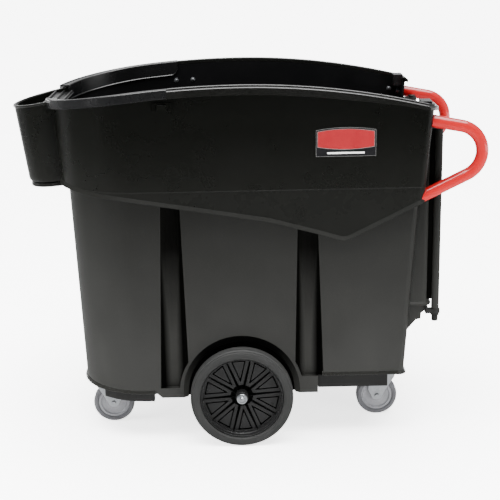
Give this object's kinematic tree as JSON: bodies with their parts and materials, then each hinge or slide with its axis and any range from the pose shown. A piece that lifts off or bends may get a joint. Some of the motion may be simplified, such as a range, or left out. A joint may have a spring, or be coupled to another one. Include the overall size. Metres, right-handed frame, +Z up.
{
  "type": "mobile waste collector cart",
  "caption": "Tall moulded waste cart with an overhanging rim, a front nose pocket, large side wheels, swivel casters and red loop handles.",
  "frame": {"origin": "middle of the bounding box, on the floor that the wheels stand on", "axes": "+X from the nose to the handles, +Z up, +Y to the right-hand side of a person pushing from the handles"},
  "size_m": [1.3844, 0.7188, 1.08],
  "materials": {
    "tub_plastic": "matte moulded polyethylene",
    "guard_plastic": "satin moulded polyethylene",
    "base_plastic": "matte moulded plastic",
    "tyre_rubber": "matte solid rubber",
    "rim_plastic": "satin moulded plastic",
    "zinc_steel": "bright zinc plate",
    "nylon": "natural nylon",
    "caster_rubber": "grey thermoplastic rubber",
    "caster_core": "light grey moulded plastic",
    "handle_plastic": "glossy red moulded plastic",
    "label_film": "gloss printed film"
  },
  "bodies": {
    "cart": {"tub": "tub_plastic", "front_rim_guard": "guard_plastic", "nose_skid_plate": "base_plastic", "front_base": "base_plastic", "rear_base": "base_plastic", "axle": "zinc_steel", "axle_bracket_left": "base_plastic", "wheel_washer_left": "zinc_steel", "wheel_cap_nut_left": "zinc_steel", "handle_left": "handle_plastic", "handle_bolt_upper_left": "zinc_steel", "handle_bolt_lower_left": "zinc_steel", "corner_block_left": "guard_plastic", "rail_tube_left": "base_plastic", "rail_arm_upper_left": "base_plastic", "rail_arm_lower_left": "base_plastic", "rail_end_plug_left": "base_plastic", "rim_hook_left": "guard_plastic", "label_left": "label_film", "axle_bracket_right": "base_plastic", "wheel_washer_right": "zinc_steel", "wheel_cap_nut_right": "zinc_steel", "handle_right": "handle_plastic", "handle_bolt_upper_right": "zinc_steel", "handle_bolt_lower_right": "zinc_steel", "corner_block_right": "guard_plastic", "rail_tube_right": "base_plastic", "rail_arm_upper_right": "base_plastic", "rail_arm_lower_right": "base_plastic", "rail_end_plug_right": "base_plastic", "rim_hook_right": "guard_plastic", "label_right": "label_film", "caster_front_left_swivel_plate": "zinc_steel", "caster_front_right_swivel_plate": "zinc_steel", "caster_rear_left_swivel_plate": "zinc_steel", "caster_rear_right_swivel_plate": "zinc_steel"},
    "wheel_left": {"wheel_tyre_left": "tyre_rubber", "wheel_rim_left": "rim_plastic", "wheel_bush_left": "nylon"},
    "wheel_right": {"wheel_tyre_right": "tyre_rubber", "wheel_rim_right": "rim_plastic", "wheel_bush_right": "nylon"},
    "caster_front_left_swivel": {"caster_front_left_fork": "zinc_steel", "caster_front_left_axle_bolt": "zinc_steel"},
    "caster_front_left_wheel": {"caster_front_left_wheel_core": "caster_core", "caster_front_left_tread": "caster_rubber"},
    "caster_front_right_swivel": {"caster_front_right_fork": "zinc_steel", "caster_front_right_axle_bolt": "zinc_steel"},
    "caster_front_right_wheel": {"caster_front_right_wheel_core": "caster_core", "caster_front_right_tread": "caster_rubber"},
    "caster_rear_left_swivel": {"caster_rear_left_fork": "zinc_steel", "caster_rear_left_axle_bolt": "zinc_steel"},
    "caster_rear_left_wheel": {"caster_rear_left_wheel_core": "caster_core", "caster_rear_left_tread": "caster_rubber"},
    "caster_rear_right_swivel": {"caster_rear_right_fork": "zinc_steel", "caster_rear_right_axle_bolt": "zinc_steel"},
    "caster_rear_right_wheel": {"caster_rear_right_wheel_core": "caster_core", "caster_rear_right_tread": "caster_rubber"}
  },
  "joints": [
    {"name": "wheel_left_spin", "type": "hinge", "parent": "cart", "child": "wheel_left", "pos_m": [-0.01815, -0.32, 0.1524], "axis": [0, 1, 0], "continuous": true},
    {"name": "wheel_right_spin", "type": "hinge", "parent": "cart", "child": "wheel_right", "pos_m": [-0.01815, 0.32, 0.1524], "axis": [0, 1, 0], "continuous": true},
    {"name": "caster_front_left_swivel", "type": "hinge", "parent": "cart", "child": "caster_front_left_swivel", "pos_m": [-0.45515, -0.12, 0.138], "axis": [0, 0, 1], "continuous": true},
    {"name": "caster_front_left_roll", "type": "hinge", "parent": "caster_front_left_swivel", "child": "caster_front_left_wheel", "pos_m": [-0.42015, -0.12, 0.0635], "axis": [0, 1, 0], "continuous": true},
    {"name": "caster_front_right_swivel", "type": "hinge", "parent": "cart", "child": "caster_front_right_swivel", "pos_m": [-0.45515, 0.12, 0.138], "axis": [0, 0, 1], "continuous": true},
    {"name": "caster_front_right_roll", "type": "hinge", "parent": "caster_front_right_swivel", "child": "caster_front_right_wheel", "pos_m": [-0.42015, 0.12, 0.0635], "axis": [0, 1, 0], "continuous": true},
    {"name": "caster_rear_left_swivel", "type": "hinge", "parent": "cart", "child": "caster_rear_left_swivel", "pos_m": [0.44185, -0.108, 0.138], "axis": [0, 0, 1], "continuous": true},
    {"name": "caster_rear_left_roll", "type": "hinge", "parent": "caster_rear_left_swivel", "child": "caster_rear_left_wheel", "pos_m": [0.40685, -0.108, 0.0635], "axis": [0, 1, 0], "continuous": true},
    {"name": "caster_rear_right_swivel", "type": "hinge", "parent": "cart", "child": "caster_rear_right_swivel", "pos_m": [0.44185, 0.108, 0.138], "axis": [0, 0, 1], "continuous": true},
    {"name": "caster_rear_right_roll", "type": "hinge", "parent": "caster_rear_right_swivel", "child": "caster_rear_right_wheel", "pos_m": [0.40685, 0.108, 0.0635], "axis": [0, 1, 0], "continuous": true}
  ]
}
